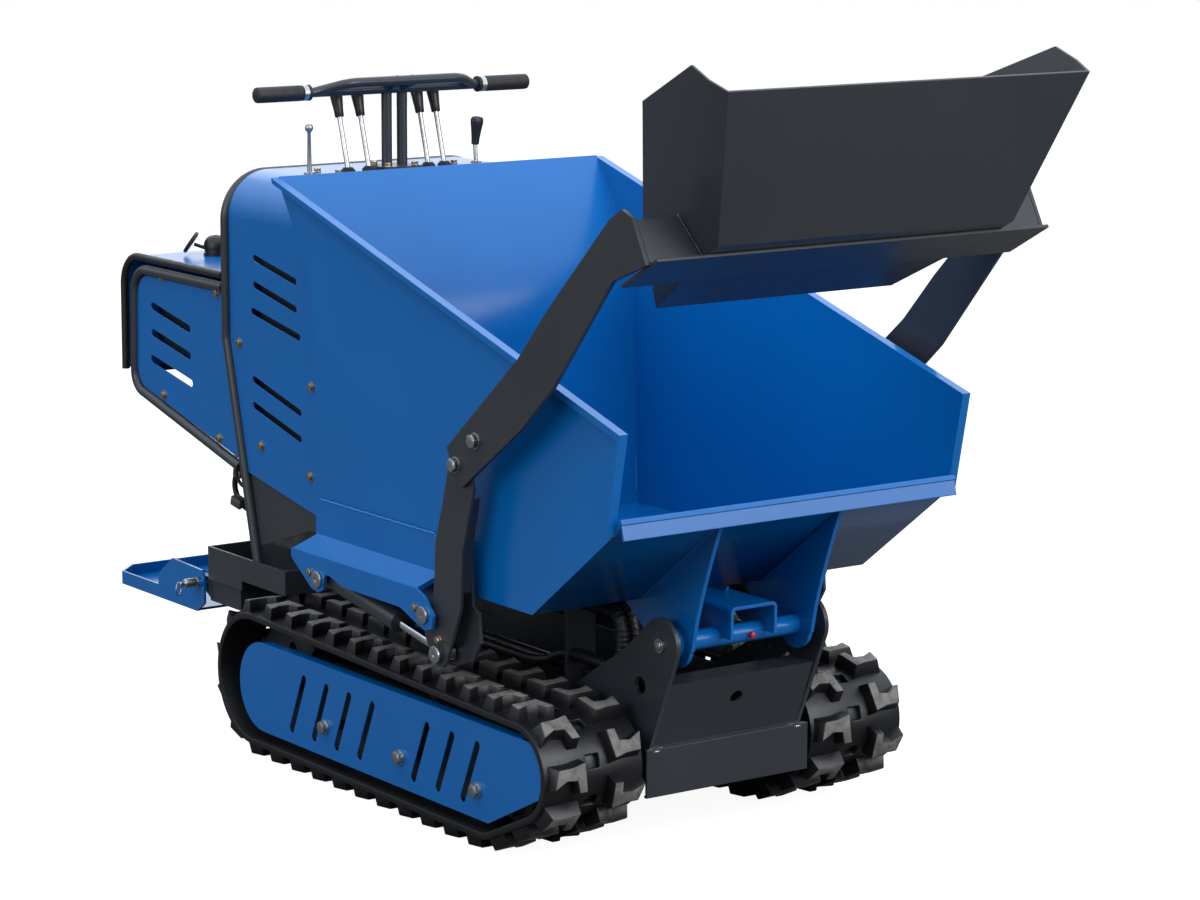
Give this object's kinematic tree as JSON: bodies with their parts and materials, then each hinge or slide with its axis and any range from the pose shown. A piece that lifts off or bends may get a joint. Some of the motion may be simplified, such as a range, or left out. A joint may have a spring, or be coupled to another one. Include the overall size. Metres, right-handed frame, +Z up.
{
  "type": "tracked site dumper",
  "caption": "Walk-behind site dumper on rubber tracks with a forward-tipping skip, a self-loading shovel on lift arms, an engine hood, a lever console and a fold-up footplate.",
  "frame": {"origin": "on the ground, at the middle of the length and width", "axes": "+X forward towards the shovel, +Y to the left, +Z up"},
  "size_m": [2.096, 0.84, 1.3633],
  "materials": {
    "blue_paint": "gloss",
    "dark_paint": "satin",
    "track_rubber": "matte",
    "chrome_rod": "polished",
    "black_plastic": "matte",
    "engine_metal": "rough",
    "plated_steel": "satin"
  },
  "bodies": {
    "base": {"chassis_frame": "dark_paint", "bumper": "dark_paint", "tip_pin": "plated_steel", "tip_foot_pin": "plated_steel", "tray_right": "dark_paint", "tray_left": "dark_paint", "track_right": "track_rubber", "track_left": "track_rubber", "track_frame_right": "dark_paint", "track_frame_left": "dark_paint", "rollers_right": "dark_paint", "rollers_left": "dark_paint", "sprocket_right": "dark_paint", "sprocket_left": "dark_paint", "drive_motor_right": "dark_paint", "drive_motor_left": "dark_paint", "track_cover_right": "blue_paint", "track_cover_left": "blue_paint", "engine": "engine_metal", "hoop": "dark_paint", "console_cover": "blue_paint", "console_front": "blue_paint", "lower_panel_right": "dark_paint", "lower_panel_left": "dark_paint", "hood_frame": "dark_paint", "hood_side_right": "blue_paint", "hood_side_left": "blue_paint", "hood_cover": "blue_paint", "hood_trim": "black_plastic", "filler_cap": "black_plastic", "handlebar": "dark_paint", "grips": "black_plastic", "levers": "plated_steel"},
    "skip": {"skip_tub": "blue_paint", "skip_frame": "blue_paint", "rail_right": "blue_paint", "rail_left": "blue_paint", "arm_pins_right": "plated_steel", "arm_pins_left": "plated_steel"},
    "arms": {"arm_lower_right": "dark_paint", "arm_lower_left": "dark_paint", "arm_upper_right": "dark_paint", "arm_upper_left": "dark_paint", "shovel": "dark_paint", "shovel_band": "dark_paint"},
    "lift_barrel_right": {"lift_barrel_right": "dark_paint"},
    "lift_barrel_left": {"lift_barrel_left": "dark_paint"},
    "lift_rod_right": {"lift_rod_right": "chrome_rod"},
    "lift_rod_left": {"lift_rod_left": "chrome_rod"},
    "tip_barrel": {"tip_barrel": "dark_paint"},
    "tip_rod": {"tip_rod": "chrome_rod"},
    "step": {"footplate": "blue_paint"}
  },
  "joints": [
    {"name": "skip_tip", "type": "hinge", "parent": "base", "child": "skip", "pos_m": [0.612, 0, 0.37], "axis": [0, 1, 0], "range_deg": [0, 75]},
    {"name": "arm_lift", "type": "hinge", "parent": "skip", "child": "arms", "pos_m": [0.279, 0, 0.392], "axis": [0, -1, 0], "range_deg": [-69, 30]},
    {"name": "step_fold", "type": "hinge", "parent": "base", "child": "step", "pos_m": [-0.68, 0, 0.262], "axis": [0, 1, 0], "range_deg": [0, 50]},
    {"name": "tip_barrel_swing", "type": "hinge", "parent": "base", "child": "tip_barrel", "pos_m": [0.3, 0, 0.18], "axis": [0, -1, 0], "range_deg": [-1.5, 0]},
    {"name": "tip_rod_slide", "type": "slide", "parent": "tip_barrel", "child": "tip_rod", "axis": [0.7071, 0, 0.7071], "range_m": [0, 0.1222]},
    {"name": "lift_barrel_right_swing", "type": "hinge", "parent": "skip", "child": "lift_barrel_right", "pos_m": [-0.065, -0.383, 0.392], "axis": [0, -1, 0], "range_deg": [-2.1, 1]},
    {"name": "lift_rod_right_slide", "type": "slide", "parent": "lift_barrel_right", "child": "lift_rod_right", "axis": [0.9848, 0, -0.1735], "range_m": [-0.074, 0.033]},
    {"name": "lift_barrel_left_swing", "type": "hinge", "parent": "skip", "child": "lift_barrel_left", "pos_m": [-0.065, 0.383, 0.392], "axis": [0, -1, 0], "range_deg": [-2.1, 1]},
    {"name": "lift_rod_left_slide", "type": "slide", "parent": "lift_barrel_left", "child": "lift_rod_left", "axis": [0.9848, 0, -0.1735], "range_m": [-0.074, 0.033]}
  ],
  "couplings": [
    {"joint": "tip_barrel_swing", "follows": "skip_tip", "ratio": -0.02},
    {"joint": "tip_rod_slide", "follows": "skip_tip", "m_per_rad": 0.0933},
    {"joint": "lift_barrel_right_swing", "follows": "arm_lift", "ratio": 0.03},
    {"joint": "lift_rod_right_slide", "follows": "arm_lift", "m_per_rad": 0.0607},
    {"joint": "lift_barrel_left_swing", "follows": "arm_lift", "ratio": 0.03},
    {"joint": "lift_rod_left_slide", "follows": "arm_lift", "m_per_rad": 0.0607}
  ]
}
